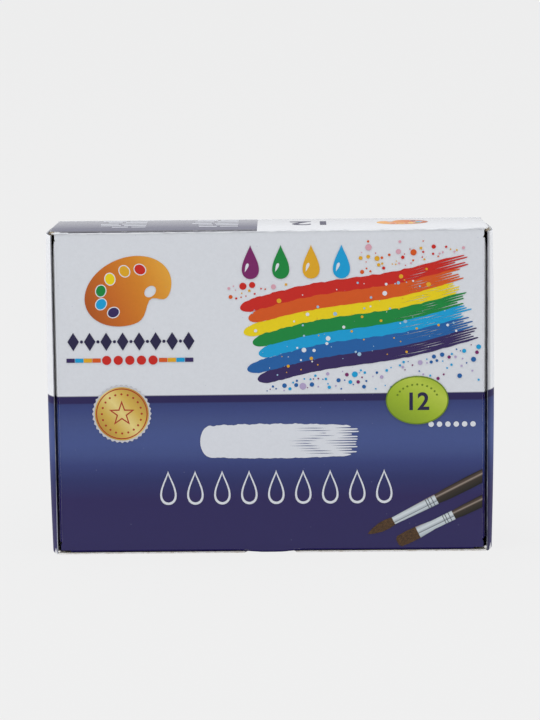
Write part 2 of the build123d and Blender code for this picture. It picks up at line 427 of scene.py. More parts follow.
def make_frayed_pulp():
    """Pulp fibres torn loose where a corner has worn through: beige, matte and rough."""
    material, tree = new_material("frayed_pulp")
    colour, relief = patchy(
        tree, {"Vector": millimetres(tree), "Scale": 1 / 0.8, "Detail": 4.0, "Roughness": 0.8},
        [(0.36, "#4E4538"), (0.50, "#9A8C74"), (0.64, "#CFC4B0")], strength=0.8, depth=0.15,
    )
    surface(tree, Base_Color=colour, Roughness=0.95, Normal=relief)
    return material


def make_crease_wear_and_highlight():
    """The lid's crease, where the coating has cracked and shows white along the fold, and is painted whiter
    still as a painted highlight on its rounded top.
    """
    material, tree = new_material("cracked_coating_and_painted_highlight_on_crease")
    colour, relief = patchy(
        tree, {"Vector": millimetres(tree, stretch=(6.0, 0.6, 0.6)), "Scale": 1 / 0.8, "Detail": 4.0},
        [(0.36, "#BFC1C6"), (0.50, "#DFE1E4"), (0.75, "#EAEBEC")], strength=0.5, depth=0.08,
    )
    # The top's navy ink reaches to the back edge of the fold, but for the rubbed left end, in the darker navy
    # of the painted shade behind the crease
    x, y, _ = axes(tree)
    back = add(tree, "Math", [y, lid_face + 0.26], operation="GREATER_THAN")
    left = add(tree, "Math", [x, top_navy_end], operation="LESS_THAN")
    past_end = add(tree, "Math", [x, -76.0], operation="GREATER_THAN")
    navy_side = add(tree, "Math", [back, left], operation="MULTIPLY")
    inked = add(tree, "Math", [navy_side, past_end], operation="MULTIPLY")
    mixed = add(tree, "Mix", [inked, colour, linear("#15132C")], data_type="RGBA")
    surface(tree, Base_Color=mixed, Roughness=0.55, Normal=relief)
    return material


def make_ink(name, code, roughness=0.34):
    """A flat area of offset ink, varnished with the board: even, with the print's own faint mottle."""
    material, tree = new_material(f"offset_ink_{name}")
    print_finish(tree, add(tree, "CombineXYZ", linear(code)[:3]), roughness)
    return material


def make_shaded_ink(name, centre, turn, half, stops):
    """Offset ink that shades across a motif: a ramp along the motif's own X, over its half width."""
    material, tree = new_material(f"offset_ink_{name}")
    x, _, _ = axes(tree, centre=centre, turn=turn)
    share = add(tree, "MapRange", {"Value": x, "From Min": -half, "From Max": half})
    print_finish(tree, add(tree, "ValToRGB", [share], stops))
    return material


def make_cap_plastic(slot, code):
    """Polypropylene coloured in the mass and injection moulded: satin, a little waxy, faintly textured."""
    material, tree = new_material(f"moulded_polypropylene_{slot}")
    spots = millimetres(tree)
    cloud = add(tree, "TexNoise", {"Vector": spots, "Scale": 1 / 7, "Detail": 3.0})
    colour = toned(tree, add(tree, "CombineXYZ", linear(code)[:3]), cloud, 0.96, 1.04)
    texture = add(tree, "TexNoise", {"Vector": spots, "Scale": 1 / 0.35, "Detail": 2.0})
    bump = add(tree, "Bump", {"Height": texture, "Strength": 0.3, "Distance": 0.02 * MM})
    gloss = add(tree, "MapRange", {"Value": cloud, "To Min": 0.30, "To Max": 0.44})
    surface(tree, Base_Color=colour, Roughness=gloss, Normal=bump, IOR=1.49)
    return material


def make_jar_plastic():
    """Natural polypropylene, moulded thin: milky and translucent, with a soft sheen."""
    material, tree = new_material("translucent_polypropylene")
    cloud = add(tree, "TexNoise", {"Vector": millimetres(tree), "Scale": 1 / 5, "Detail": 3.0})
    colour = add(tree, "ValToRGB", [cloud], [(0.3, "#DDE0DF"), (0.7, "#EDEFED")])
    gloss = add(tree, "MapRange", {"Value": cloud, "To Min": 0.28, "To Max": 0.42})
    surface(tree, Base_Color=colour, Roughness=gloss, IOR=1.49, Transmission_Weight=0.45)
    return material


def make_paint_paste(slot, code):
    """Gouache in the jar: a thick matte paste, with the soft ridges that filling left."""
    material, tree = new_material(f"gouache_paste_{slot}")
    ridges = add(
        tree, "TexNoise", {"Vector": millimetres(tree), "Scale": 1 / 6, "Detail": 2.0, "Distortion": 1.5}
    )
    colour = toned(tree, add(tree, "CombineXYZ", linear(code)[:3]), ridges, 0.93, 1.05)
    bump = add(tree, "Bump", {"Height": ridges, "Strength": 0.6, "Distance": 0.6 * MM})
    surface(tree, Base_Color=colour, Roughness=0.62, Normal=bump)
    return material


printed_board = make_printed_board()
top_print = make_top_print()
flap_print = make_flap_print()
board_back = make_board_back()
board_core = make_board_core()
worn_edge = make_worn_edge()
rim_core = make_rim_core()
frayed_pulp = make_frayed_pulp()
crease_wear_and_highlight = make_crease_wear_and_highlight()
crease_print = make_crease_print()


# Modelling steps


def add_primitive(name, operator, **settings):
    """Adds a primitive with nothing else selected, and names it."""
    bpy.ops.object.select_all(action="DESELECT")
    operator(**settings)
    piece = bpy.context.object
    piece.name = name
    piece.data.name = name
    return piece


def add_object(name, data):
    """Adds an object with this data to the scene."""
    made = bpy.data.objects.new(name, data)
    bpy.context.scene.collection.objects.link(made)
    return made


def pick(piece):
    """Selects one piece alone, and makes it the active one."""
    bpy.ops.object.select_all(action="DESELECT")
    bpy.context.view_layer.objects.active = piece
    piece.select_set(True)


def choose(piece, test):
    """Goes into edit mode and selects the vertices whose place passes the test."""
    bpy.ops.object.mode_set(mode="EDIT")
    bpy.ops.mesh.select_mode(type="VERT")
    bpy.ops.mesh.select_all(action="DESELECT")
    mesh = bmesh.from_edit_mesh(piece.data)
    for vertex in mesh.verts:
        vertex.select_set(test(vertex.co))
    mesh.select_flush_mode()
    bmesh.update_edit_mesh(piece.data)


def cut_across(direction, places):
    """In edit mode, cuts the whole mesh across a direction at these places, to let it bend there."""
    for place_on_it in places:
        bpy.ops.mesh.select_all(action="SELECT")
        bpy.ops.mesh.bisect(plane_co=place_on_it * direction, plane_no=direction, threshold=1e-5)


def leave_edit():
    """Goes back to object mode, which writes the edit into the mesh."""
    bpy.ops.object.mode_set(mode="OBJECT")


def modify(piece, kind, **settings):
    """Adds one modifier and applies it."""
    pick(piece)
    modifier = piece.modifiers.new(kind.title(), kind)
    for name, value in settings.items():
        setattr(modifier, name, value)
    bpy.ops.object.modifier_apply(modifier=modifier.name)


def smooth(piece):
    """Shades the piece smooth, but for its sharp edges."""
    pick(piece)
    bpy.ops.object.shade_smooth_by_angle(angle=smooth_angle)


def dress(piece, *materials):
    """Gives the piece more materials, in this order."""
    for material in materials:
        piece.data.materials.append(material)


def place(piece, turn=Matrix.Identity(4)):
    """Puts the piece's place into its mesh, in metres, and leaves its object at the origin."""
    piece.data.transform(Matrix.Scale(MM, 4) @ turn @ piece.matrix_basis)
    piece.matrix_basis = Matrix.Identity(4)
    return piece


def add_sheet(name, columns, rows, spot):
    """A grid sheet whose points spot(u, v) places, with u and v from 0 to 1 and u cross v outwards."""
    piece = add_primitive(
        name, bpy.ops.mesh.primitive_grid_add, x_subdivisions=columns, y_subdivisions=rows, size=1
    )
    for vertex in piece.data.vertices:
        vertex.co = spot(vertex.co.x + 0.5, vertex.co.y + 0.5)
    return piece


def make_board(piece, outer=printed_board, core=board_core, edge=worn_edge, bevel=cut_edge_bevel):
    """Gives a sheet its thickness, inwards, and softens its cut edges: print, back, core and worn edge."""
    dress(piece, outer, board_back, core, edge)
    modify(piece, "SOLIDIFY", use_even_offset=True, **board_ply)
    if bevel:
        modify(piece, "BEVEL", width=bevel, material=3, **soft_edge)
    smooth(piece)
    return piece


def hand_in(piece, body, *nodes, slot="printed_paperboard"):
    """Says what the piece rides on and what it stands for; its slot is not used."""
    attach(piece, body)
    if nodes:
        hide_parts(*nodes)
    return piece


# Carton


def bow_share(y):
    """The share of its bow that a wall has at this depth: all just behind the rim, none at rim and base."""
    crest = wall_low.y + wall_bulge_depth
    reach = wall_bulge_depth if y < crest else base_inside - crest
    return max(0.0, 1 - ((y - crest) / reach) ** 2)


def most_bow(height):
    """How far a side wall bows out at this height."""
    from_middle = 2 * height / box_top - 1
    return wall_bulge_ends + (wall_bulge_middle - wall_bulge_ends) * (1 - from_middle**2)


def crease_drop(x):
    """How far the lid's crease lies below the top here: it has sunk at the left and risen at the right."""
    return crease_sag - crease_tilt * x


def foot_drop(x):
    """How far the lid's lower crease hangs below its packed place: more over the thumb notch."""
    return lid_foot_sag + notch_sag * math.exp(-(((x - notch_centre) / notch_sag_half) ** 4))


def make_lid():
    """The lid's face between its creases, with the slight unevenness of a handled carton."""
    rows, past_ear = 48, 1.0
    dent_depth, dent_turns, dent_start = 0.10, 2.3, 0.6
    # The higher the power, the closer to its edge a change stays
    crease_power, foot_power, set_back_power = 8, 10, 30
    # Past the ears' creases the lid is a little wider, up to its own edge
    heights = [lid_bottom + flap_crease_radius, ear_low.z - past_ear]
    heights += [ear_low.z + (ear_high.z - ear_low.z) * i / (rows - 4) for i in range(rows - 3)]
    heights += [ear_high.z + past_ear, box_top - crease_radius]

    def spot(u, v):
        row = round(v * rows)
        beside_ear = 2 <= row <= rows - 2
        half = lid_half_width - (flap_crease_radius if beside_ear else lid_end_inset)
        x = half * (2 * u - 1)
        z = heights[row] - crease_drop(x) * (row / rows) ** crease_power
        dent = dent_depth * math.sin(dent_turns * math.pi * u + dent_start) * math.sin(math.pi * v) ** 2
        sag = -foot_drop(x) * (1 - v) ** foot_power
        set_back = lid_set_back * (1 - (1 - v) ** set_back_power)
        return Vector((x, lid_face + set_back + dent * math.sin(math.pi * u), z + sag))

    piece = make_board(add_sheet("lid_panel_board", 64, rows, spot), bevel=0)
    hand_in(place(piece), "lid", "lid_panel")


def make_hinge_wall():
    """The top of the standing box, behind its crease."""
    front = lid_face + crease_radius
    # The board lies a hair below the box's top, and its rows stand closer towards the crease
    hair, row_power = 0.02, 1.6

    def spot(u, v):
        y = front + (base_inside - front) * v**row_power
        x = (2 * u - 1) * (panel_half_width + panel_end_bulge * bow_share(y))
        roll = crease_drop(x) * math.exp(-(y - front) / crease_roll)
        return Vector((x, y, box_top - hair - roll))

    piece = make_board(add_sheet("hinge_wall_board", 48, 32, spot), top_print)
    hand_in(place(piece), "carton", "hinge_wall")


def make_front_wall():
    """The foot of the standing box, with the thumb notch in its rim."""

    def spot(u, v):
        y = base_inside + (front_rim - base_inside) * v
        half = panel_half_width + panel_end_bulge * bow_share(y)
        return Vector(((2 * u - 1) * half, y, -foot_sag))

    piece = add_sheet("front_wall_board", 48, 32, spot)
    notch_radius = ((notch_width / 2) ** 2 + notch_depth**2) / (2 * notch_depth)
    cutter = add_primitive(
        "notch_cutter", bpy.ops.mesh.primitive_cylinder_add, vertices=96, radius=notch_radius,
        depth=4 * board, location=(notch_centre, front_rim + notch_depth - notch_radius, -foot_sag),
    )
    dress(piece, printed_board, board_back, board_core, worn_edge)
    dress(cutter, board_core)
    modify(piece, "SOLIDIFY", **board_ply)
    modify(piece, "BOOLEAN", object=cutter, operation="DIFFERENCE", solver="EXACT", material_mode="TRANSFER")
    bpy.data.objects.remove(cutter)
    modify(piece, "BEVEL", width=cut_edge_bevel, **soft_edge)
    smooth(piece)
    hand_in(place(piece), "carton", "front_wall")


def make_side_wall(side, side_name):
    """A side wall, bowed outwards, most at half its height and just behind its rim."""
    # The columns stand closer towards the rim
    column_power = 1.4

    def spot(u, v):
        share = u if side > 0 else 1 - u
        y = wall_low.y + (wall_high.y - wall_low.y) * share**column_power
        z = -foot_sag + (box_top - side_wall_short + foot_sag) * v
        return Vector((side * (wall_outer + most_bow(max(z, 0)) * bow_share(y)), y, z))

    side_print = make_side_print(side_name)
    sheet = add_sheet(f"side_wall_{side_name}_board", 36, 48, spot)
    piece = make_board(sheet, side_print, rim_core, side_print)
    hand_in(place(piece), "carton", f"side_wall_{side_name}")


def make_base_panel():
    """The back of the standing box, which is the tray's floor: one board with rounded creases."""

    def spot(u, v):
        return Vector(((1 - 2 * u) * wall_outer, base_face, box_top * v))

    piece = make_board(add_sheet("base_panel_board", 32, 24, spot), bevel=base_crease_bevel)
    hand_in(place(piece), "carton", "base_panel", slot="plain_paperboard")


def make_glue_flap(side, side_name, wall_name):
    """A corner flap, folded from a wall's end and glued inside the side wall."""
    node = f"glue_flap_{wall_name}_{side_name}"
    low, high = (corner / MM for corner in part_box(node))
    taper, corner_radius, glue_start, hair = 4.0, 1.0, 5.0, 0.01

    def spot(u, v):
        share = u if side > 0 else 1 - u
        along = v if wall_name == "front" else 1 - v
        inset = taper * along
        y = low.y + inset + (high.y - low.y - 2 * inset) * share
        z = low.z + (high.z - low.z) * v
        glued = min(1.0, along * (high.z - low.z) / glue_start)
        bow = panel_end_bulge + (most_bow(z) - panel_end_bulge) * glued
        return Vector((side * (panel_half_width + bow * bow_share(y)), y, z))

    piece = add_sheet(f"{node}_board", 16, 10, spot)
    free_end = low.z if wall_name == "hinge" else high.z
    corners = (low.y + taper, high.y - taper)
    choose(
        piece, lambda p: abs(p.z - free_end) < hair and min(abs(p.y - corner) for corner in corners) < hair
    )
    bpy.ops.mesh.bevel(offset=corner_radius, segments=4, affect="VERTICES")
    leave_edit()
    make_board(piece, top_print if wall_name == "hinge" else printed_board)
    hand_in(place(piece), "carton", node, slot="plain_paperboard")


def make_frayed_corner(name, spot, half_size, material, seed):
    """A tuft of board where a corner has worn through."""
    dice = random.Random(seed)
    piece = add_primitive(name, bpy.ops.mesh.primitive_ico_sphere_add, subdivisions=3, radius=1.0)
    for vertex in piece.data.vertices:
        ragged = vertex.co * dice.uniform(0.62, 1.0)
        vertex.co = Vector(spot) + Vector(a * b for a, b in zip(ragged, half_size))
    dress(piece, material)
    hand_in(place(piece), "carton")


def make_tuck_flap():
    """The flap at the lid's foot, leaning in over the front wall, with rounded free corners."""
    length, corner_radius, lean_in, notch_band = 15.0, 7.0, 1.5, 2.0
    lean = math.asin((lean_in + lid_foot_sag) / length)
    root, root_band = lid_face + flap_crease_radius, 0.1
    piece = add_primitive("lid_tuck_flap_board", bpy.ops.mesh.primitive_plane_add, size=1)
    for vertex in piece.data.vertices:
        far = vertex.co.y + 0.5
        reach = far * (length - (flap_crease_radius - board))
        x, y = -2 * vertex.co.x * tuck_half_width, root + reach * math.cos(lean)
        vertex.co = Vector((x, y, lid_bottom - lid_foot_sag + reach * math.sin(lean)))
    choose(piece, lambda p: p.y > root + 1)
    bpy.ops.mesh.bevel(offset=corner_radius, segments=10, affect="VERTICES")
    # These cuts let the flap's root follow the lid's sag at the notch
    cut_across(X_AXIS, [notch_centre + beside for beside in (-12, -9, -7, -5, -2, 2, 5, 7, 9, 12)])
    cut_across(Y_AXIS, [root + notch_band])
    leave_edit()
    for vertex in piece.data.vertices:
        if vertex.co.y < root + root_band:
            vertex.co.z -= foot_drop(vertex.co.x) - lid_foot_sag
    make_board(piece, flap_print)
    hand_in(place(piece), "tuck_flap", "lid_tuck_flap")


def make_ear(side, side_name):
    """A lid ear, folded back along the side wall, cut away towards the hinge, and sprung outwards."""
    low, high = ear_low.z, ear_high.z
    root, far = lid_face + flap_crease_radius, ear_high.y
    foot_taper, hinge_taper, corner_radius = 6.0, 39.0, 3.0
    corners = {
        (0, 0): (root, low), (1, 0): (far, low + foot_taper),
        (1, 1): (far, high - hinge_taper), (0, 1): (root, high),
    }
    piece = add_primitive(f"lid_ear_{side_name}_board", bpy.ops.mesh.primitive_plane_add, size=1)
    for vertex in piece.data.vertices:
        across = round(vertex.co.x + 0.5) if side > 0 else 1 - round(vertex.co.x + 0.5)
        y, z = corners[across, round(vertex.co.y + 0.5)]
        vertex.co = Vector((side * lid_half_width, y, z))
    choose(piece, lambda p: p.y > root + 1)
    bpy.ops.mesh.bevel(offset=corner_radius, segments=6, affect="VERTICES")
    # The cuts lie closer where the ear bends more
    cut_across(Y_AXIS, [root + depth for depth in (0.5, 1.0, 1.6, 2.4, 3.4, 4.8, 6.5, 9.0, 12.0, 16.0)])
    leave_edit()
    for vertex in piece.data.vertices:
        vertex.co.x += side * ear_bulge * (1 - math.exp(-(vertex.co.y - root) / ear_bulge_reach))
    make_board(piece, flap_print)
    hand_in(place(piece), f"ear_{side_name}", f"lid_ear_{side_name}")


def bent_strip(name, corner, first, second, span, radius, outer, drop=None):
    """A strip of board bent round the corner between two panels.

    first and second are directions from the corner along the two panels; span is the strip's two ends.
    """
    centre = corner + radius * (first + second)
    along = first.cross(second)

    def spot(u, v):
        angle = v * math.pi / 2
        rim = centre - radius * (second * math.cos(angle) + first * math.sin(angle))
        point = rim + along * (span[0] + (span[1] - span[0]) * u)
        if drop:
            point.z -= drop(point.x)
        return point

    piece = add_sheet(name, 40, crease_steps, spot)
    middle = piece.data.polygons[len(piece.data.polygons) // 2]
    if middle.normal.dot(middle.center - centre) < 0:
        piece.data.flip_normals()
    dress(piece, outer, board_back, board_core)
    modify(piece, "SOLIDIFY", **board_ply)
    smooth(piece)
    place(piece)
    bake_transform(piece)


make_lid()
make_hinge_wall()
make_front_wall()
make_base_panel()
make_tuck_flap()
for tuft in (
    ("frayed_corner_left", (-82.2, lid_face + 1.5, box_top - 0.55), (1.2, 0.9, 0.75), frayed_pulp, 30),
    ("frayed_corner_right", (82.3, lid_face + 1.7, box_top - 0.60), (0.95, 0.9, 0.85), frayed_pulp, 32),
    ("worn_foot_corner_left", (-82.1, lid_face + 0.9, 0.45), (0.7, 0.5, 0.42), board_core, 33),
    ("worn_foot_corner_right", (82.2, lid_face + 0.9, 0.80), (0.8, 0.5, 0.75), board_core, 34),
):
    make_frayed_corner(*tuft)
for side, side_name in ((-1, "left"), (1, "right")):
    make_side_wall(side, side_name)
    make_ear(side, side_name)
    for wall_name in ("hinge", "front"):
        make_glue_flap(side, side_name, wall_name)

bent_strip(
    "lid_crease", Vector((0, lid_face, box_top)), Y_AXIS, -Z_AXIS,
    (-lid_half_width, lid_half_width), crease_radius, crease_wear_and_highlight, crease_drop,
)
bent_strip(
    "tuck_crease", Vector((0, lid_face, lid_bottom)), Z_AXIS, Y_AXIS,
    (-tuck_half_width, tuck_half_width), flap_crease_radius, crease_print, foot_drop,
)
for side, side_name in ((-1, "left"), (1, "right")):
    ends = sorted((-side * ear_low.z, -side * ear_high.z))
    bent_strip(
        f"ear_{side_name}_crease", Vector((side * lid_half_width, lid_face, 0)),
        -side * X_AXIS, Y_AXIS, ends, flap_crease_radius, crease_print,
    )

# Print: every motif is a film of ink on the board, drawn in millimetres on its panel


def on_lid(lift):
    """The lid's face: a drawing's X runs right and its Y up."""
    across, up = print_register
    return Matrix.Translation((across, lid_face - lift, up)) @ Matrix.Rotation(math.pi / 2, 4, "X")


def on_top(lift):
    """The top, whose print reads from behind."""
    return Matrix.Translation((0, 0, box_top + lift)) @ Matrix.Rotation(math.pi, 4, "Z")


def on_back(lift):
    """The base panel, which reads from behind."""
    return Matrix.Translation((0, base_face + lift, 0)) @ Matrix(
        ((-1, 0, 0, 0), (0, 0, 1, 0), (0, 1, 0, 0), (0, 0, 0, 1))
    )


def lay_ink(name, drawing, ink, level, panel, centre=(0, 0)):
    """Turns a flat drawing into a closed film of ink, which lies on a panel or on the films below it."""
    drawing.extrude = ink_film / 2
    film = add_object(name, drawing)
    pick(film)
    bpy.ops.object.convert(target="MESH")
    choose(film, lambda p: True)
    bpy.ops.mesh.remove_doubles(threshold=0.0005)
    # A number's faces already point outwards
    if not isinstance(drawing, bpy.types.TextCurve):
        bpy.ops.mesh.normals_make_consistent(inside=False)
    leave_edit()
    film.data.transform(Matrix.Translation((*centre, 0)))
    dress(film, ink)
    return place(film, panel(level * ink_film + ink_film / 2))


def print_film(name, ink, outlines, level, panel=on_lid):
    """One closed film of ink. Outlines don't cross, and one inside another is a hole."""
    curve = bpy.data.curves.new(name, "CURVE")
    curve.dimensions = "2D"
    curve.fill_mode = "BOTH"
    for outline in outlines:
        spline = curve.splines.new("POLY")
        spline.points.add(len(outline) - 1)
        for point, (x, y) in zip(spline.points, outline):
            point.co = (x, y, 0, 1)
        spline.use_cyclic_u = True
    return lay_ink(name, curve, ink, level, panel)


def number_film(name, words, size, centre, level, panel):
    """A plain navy number, set in the default typeface and a little bolder."""
    text = bpy.data.curves.new(name, "FONT")
    text.body = words
    text.size = size
    text.align_x = "CENTER"
    text.align_y = "CENTER"
    text.offset = 0.022 * size
    return lay_ink(name, text, navy, level, panel, centre)


def join_films(name, films, body="lid"):
    """Joins a motif's films into one piece, which rides with its panel."""
    pick(films[0])
    for film in films[1:]:
        film.select_set(True)
    if len(films) > 1:
        bpy.ops.object.join()
    films[0].name = name
    films[0].data.name = name
    return hand_in(films[0], body)


def print_motif(name, layers, body="lid", panel=on_lid):
    """One printed motif. Each layer is (ink, outlines, level), and a level lies on the one below."""
    films = [print_film(f"{name}_{n}", *layer, panel) for n, layer in enumerate(layers)]
    return join_films(name, films, body)


def moved(outline, centre, turn=0.0, size=1.0):
    """An outline scaled, turned in degrees about its own origin, and moved."""
    c, s = size * math.cos(math.radians(turn)), size * math.sin(math.radians(turn))
    return [(centre[0] + x * c - y * s, centre[1] + x * s + y * c) for x, y in outline]


def once_round(points, spot):
    """A closed outline of this many points, which spot(angle) places."""
    return [spot(math.tau * i / points) for i in range(points)]


def ellipse(centre, half_width, half_height, turn=0.0, points=48):
    """An ellipse's outline, turned by this many degrees."""
    outline = once_round(points, lambda a: (half_width * math.cos(a), half_height * math.sin(a)))
    return moved(outline, centre, turn)


def circle(centre, radius, points):
    """A circle's outline."""
    return ellipse(centre, radius, radius, points=points)


def box_outline(left, bottom, right, top):
    """A rectangle's outline."""
    return [(left, bottom), (right, bottom), (right, top), (left, top)]


def drop(length, width):
    """A paint drop: round at the right end and drawn out to a point at the left."""
    points, point_power, half_share = 36, 1.6, 0.62

    def spot(angle):
        swell = math.sin(angle / 2) ** point_power
        return -length / 2 * math.cos(angle), width * half_share * math.sin(angle) * swell

    return once_round(points, spot)


def star(points, outer, inner):
    """A star's outline, with one point up."""
    spots = []
    for i in range(2 * points):
        reach = outer if i % 2 == 0 else inner
        angle = math.pi / 2 + math.pi * i / points
        spots.append((reach * math.cos(angle), reach * math.sin(angle)))
    return spots


def diamond(half_width, half_height):
    """A diamond's outline, standing on one corner."""
    return [(half_width, 0), (0, half_height), (-half_width, 0), (0, -half_height)]


def brush_stroke(length, width, dice, tines=12):
    """A dry stroke of paint: a rounded start, wavy sides, and tines and streaks where the bristles lift."""
    steps, start_share, inked_share = 64, 0.07, 0.88
    top, foot = [], []
    for i in range(steps + 1):
        share = (i / steps) ** 1.5
        start = min(share / start_share, 1)
        profile = math.sqrt(max(0.0, 1 - (1 - start) ** 2)) * (0.90 + 0.10 * math.sin(math.pi * share))
        x = length * (share - 0.5)
        wave = 0.16 * math.sin(0.9 * x) + 0.10 * math.sin(2.3 * x + 1)
        top.append((x, width / 2 * profile + start * (wave + dice.uniform(-0.05, 0.05))))
        foot.append((x, -width / 2 * profile + start * (0.5 * wave + dice.uniform(-0.06, 0.06))))
    highest, row = width * inked_share / 2, inked_share * width / tines
    gaps = [(length / 2 - dice.uniform(1.0, 9.0), highest - row * j) for j in range(1, tines)]
    end = []
    for i in range(tines):
        middle = highest - row * (i + 0.5)
        tip = length / 2 + dice.uniform(0.3, 5.5)
        end += [(tip - 0.5, middle + 0.24), (tip, middle + 0.06), (tip - 0.4, middle - 0.2)]
        if i < tines - 1:
            end.append(gaps[i])
    streaks = []
    for x, y in gaps:
        right = x - dice.uniform(1.0, 5.0)
        long, half = dice.uniform(3.0, 15.0), dice.uniform(0.07, 0.17)
        upper, lower = (right - 0.4 * long, y + half), (right - 0.3 * long, y - half)
        streaks.append([(right, y), lower, (right - long, y), upper])
    return [foot[1:] + end[::-1] + top[::-1]] + streaks


navy = make_ink("navy", "#221C45")
white_ink = make_ink("reversed_white", "#E7EAF0")
rainbow = {
    "red": "#D02318", "orange": "#DE5A17", "golden": "#E8AE22", "yellow": "#F4D90E", "green": "#0C8A3C",
    "sky": "#0CA4DC", "blue": "#1D62A8", "violet": "#33225C", "plum": "#7D1F66", "lilac": "#B9A9CF",
    "rose": "#E2AAB8", "pale_blue": "#9FC4DE", "white": "#E7EAF0",
}
inks = {name: make_ink(name, code) for name, code in rainbow.items()}


def wave_spot(along, across):
    """A point of the wave: along runs from 0 at its left to 1 at its right, across is up from its middle."""

    def middle(share):
        rise = wave_rise * math.sin(math.pi * (share - 0.5)) + wave_swing * math.sin(math.tau * share)
        return Vector((wave_left + wave_length * share, wave_height + rise))

    ahead = (middle(along + 0.01) - middle(along - 0.01)).normalized()
    x, y = middle(along) + across * Vector((-ahead.y, ahead.x))
    return min(x, print_edge), y


def stands_free(x, y, size, gap, taken):
    """Whether a round drop here keeps this gap to every one that is there already."""
    return all(math.hypot(x - a, y - b) > size + c + gap for a, b, c in taken)


def print_wave():
    """Seven brush strokes side by side, rising to the right, with round drops thrown off above and below."""
    dice = random.Random(12)
    width, overlap = 4.7, 0.5
    colours = ("violet", "blue", "sky", "green", "yellow", "orange", "red")
    for number, colour in enumerate(colours):
        stroke = brush_stroke(dice.uniform(76.0, 82.0), width + overlap, dice, tines=5)
        across = width * (number - len(colours) // 2)
        shift = dice.uniform(-3.5, 0.0)
        drawn = [[wave_spot(0.5 + (x + shift) / wave_length, across + y) for x, y in line] for line in stroke]
        print_motif(f"print_stroke_{colour}", [(inks[colour], drawn, number % 2)])
    warm, cool = ("red", "orange", "golden", "rose"), ("plum", "blue", "sky", "lilac")
    thrown = {colour: [] for colour in ("red", "orange", "golden", "plum", "blue", "sky", "lilac", "rose")}
    drop_count, row_right = 150, 34.0
    wave_edge, row_foot = len(colours) / 2 * width + 1.2, row_height - 8.5
    lowest, highest = stripe_top + 0.6, lid_print_top - 1.5
    taken = []
    while len(taken) < drop_count:
        side = dice.choice((-1, 1))
        size = min(1.7, 0.22 + dice.expovariate(2.6))
        far = wave_edge + size + dice.expovariate(0.22)
        x, y = wave_spot(dice.uniform(0.0, 1.0), side * far)
        inside = lowest < y - size and y + size < highest and x + size < print_edge
        beside_row = y < row_foot or x > row_right
        if inside and beside_row and stands_free(x, y, size, 0.3, taken):
            taken.append((x, y, size))
            thrown[dice.choice(warm if side > 0 else cool)].append(circle((x, y), size, points=18))
    print_motif("print_thrown_drops", [(inks[colour], dots, 3) for colour, dots in thrown.items()])
    flecks = {"white": [], "golden": [], "pale_blue": []}
    fleck_count = 90
    taken = []
    while len(taken) < fleck_count:
        along, across = dice.uniform(0.08, 0.90), dice.uniform(-3.2, 3.2) * width
        size = min(0.9, 0.14 + dice.expovariate(4.5))
        x, y = wave_spot(along, across)
        if stands_free(x, y, size, 0.15, taken):
            taken.append((x, y, size))
            flecks[dice.choice(list(flecks))].append(circle((x, y), size, points=12))
    print_motif("print_wave_flecks", [(inks[colour], dots, 3) for colour, dots in flecks.items()])
    for colour, x in (("plum", -7.5), ("green", 4.0), ("golden", 15.5), ("sky", 27.0)):
        body = moved(drop(13.0, 7.6), (x, row_height), -90)
        glint = moved(drop(3.6, 1.3), (x - 1.5, row_height - 2.2), 70)
        print_motif(f"print_drop_{colour}", [(inks[colour], [body], 5), (white_ink, [glint], 6)])


def palette_outline():
    """A painter's palette: a broad oval with a bite in its lower edge."""
    points, half_width, half_height = 72, 17.2, 12.6
    bite_depth, bite_bearing, bite_width = 5.4, math.radians(292), 0.26

    def spot(angle):
        beside = (angle - bite_bearing + math.pi) % math.tau - math.pi
        bite = bite_depth * math.exp(-((beside / bite_width) ** 2))
        return half_width * math.cos(angle), half_height * math.sin(angle) + bite

    return once_round(points, spot)


def print_palette(name, centre, turn, size, body, panel, shading):
    """The palette with six dabs of paint, and its thumb hole."""
    ground = moved(palette_outline(), centre, turn, size)
    hole = moved(ellipse((7.6, -3.6), 2.5, 1.9, 20), centre, turn, size)[::-1]
    rims, dabs = [], []
    row_width, row_depth = 11.4, 7.6
    bearings = {"violet": 222, "sky": 182, "green": 145, "yellow": 112, "golden": 80, "red": 48}
    for number, (colour, bearing) in enumerate(bearings.items()):
        angle = math.radians(bearing)
        spot = (row_width * math.cos(angle), row_depth * math.sin(angle))
        rims.append(moved(ellipse(spot, 2.5, 2.15, 25 * number, 24), centre, turn, size))
        dab = moved(ellipse(spot, 2.15, 1.8, 25 * number, 24), centre, turn, size)
        dabs.append((inks[colour], [dab], 1.2))
    print_motif(name, [(shading, [ground, hole], 0), (white_ink, rims, 0.6)] + dabs, body, panel)


def print_lid_left():
    """Left of the wave: the palette, a row of diamonds, and a bar of colour patches with five red discs."""
    shading = make_shaded_ink("amber_shading", (-54.0, 0, 100.5), (0, -24, 0), 17.0, amber)
    print_palette("print_palette", (-54.0, 101.3), 24, 1.0, "lid", on_lid, shading)
    left, pitch, row = -75.2, 6.28, 82.0
    diamonds = [moved(diamond(2.2, 3.5), (left + pitch * i, row)) for i in range(8)]
    dots = [circle((left + pitch * (i + 0.5), row), 0.6, 16) for i in range(7)]
    print_motif("print_diamond_row", [(navy, diamonds + dots, 0)])
    bar_left, bar_right, bar_low, bar_high, width, gap = -77.9, -29.6, 74.0, 75.6, 3.3, 0.15
    patches = []
    for i, colour in enumerate(("violet", "sky", "golden", "orange")):
        near = box_outline(bar_left + width * i, bar_low, bar_left + width * (i + 1) - gap, bar_high)
        far = box_outline(bar_right - width * (i + 1) + gap, bar_low, bar_right - width * i, bar_high)
        patches.append((inks[colour], [near, far], 0))
    discs = [circle((-62.6 + 4.42 * i, (bar_low + bar_high) / 2), 1.75, 28) for i in range(5)]
    print_motif("print_colour_bar", patches + [(inks["red"], discs, 0)])


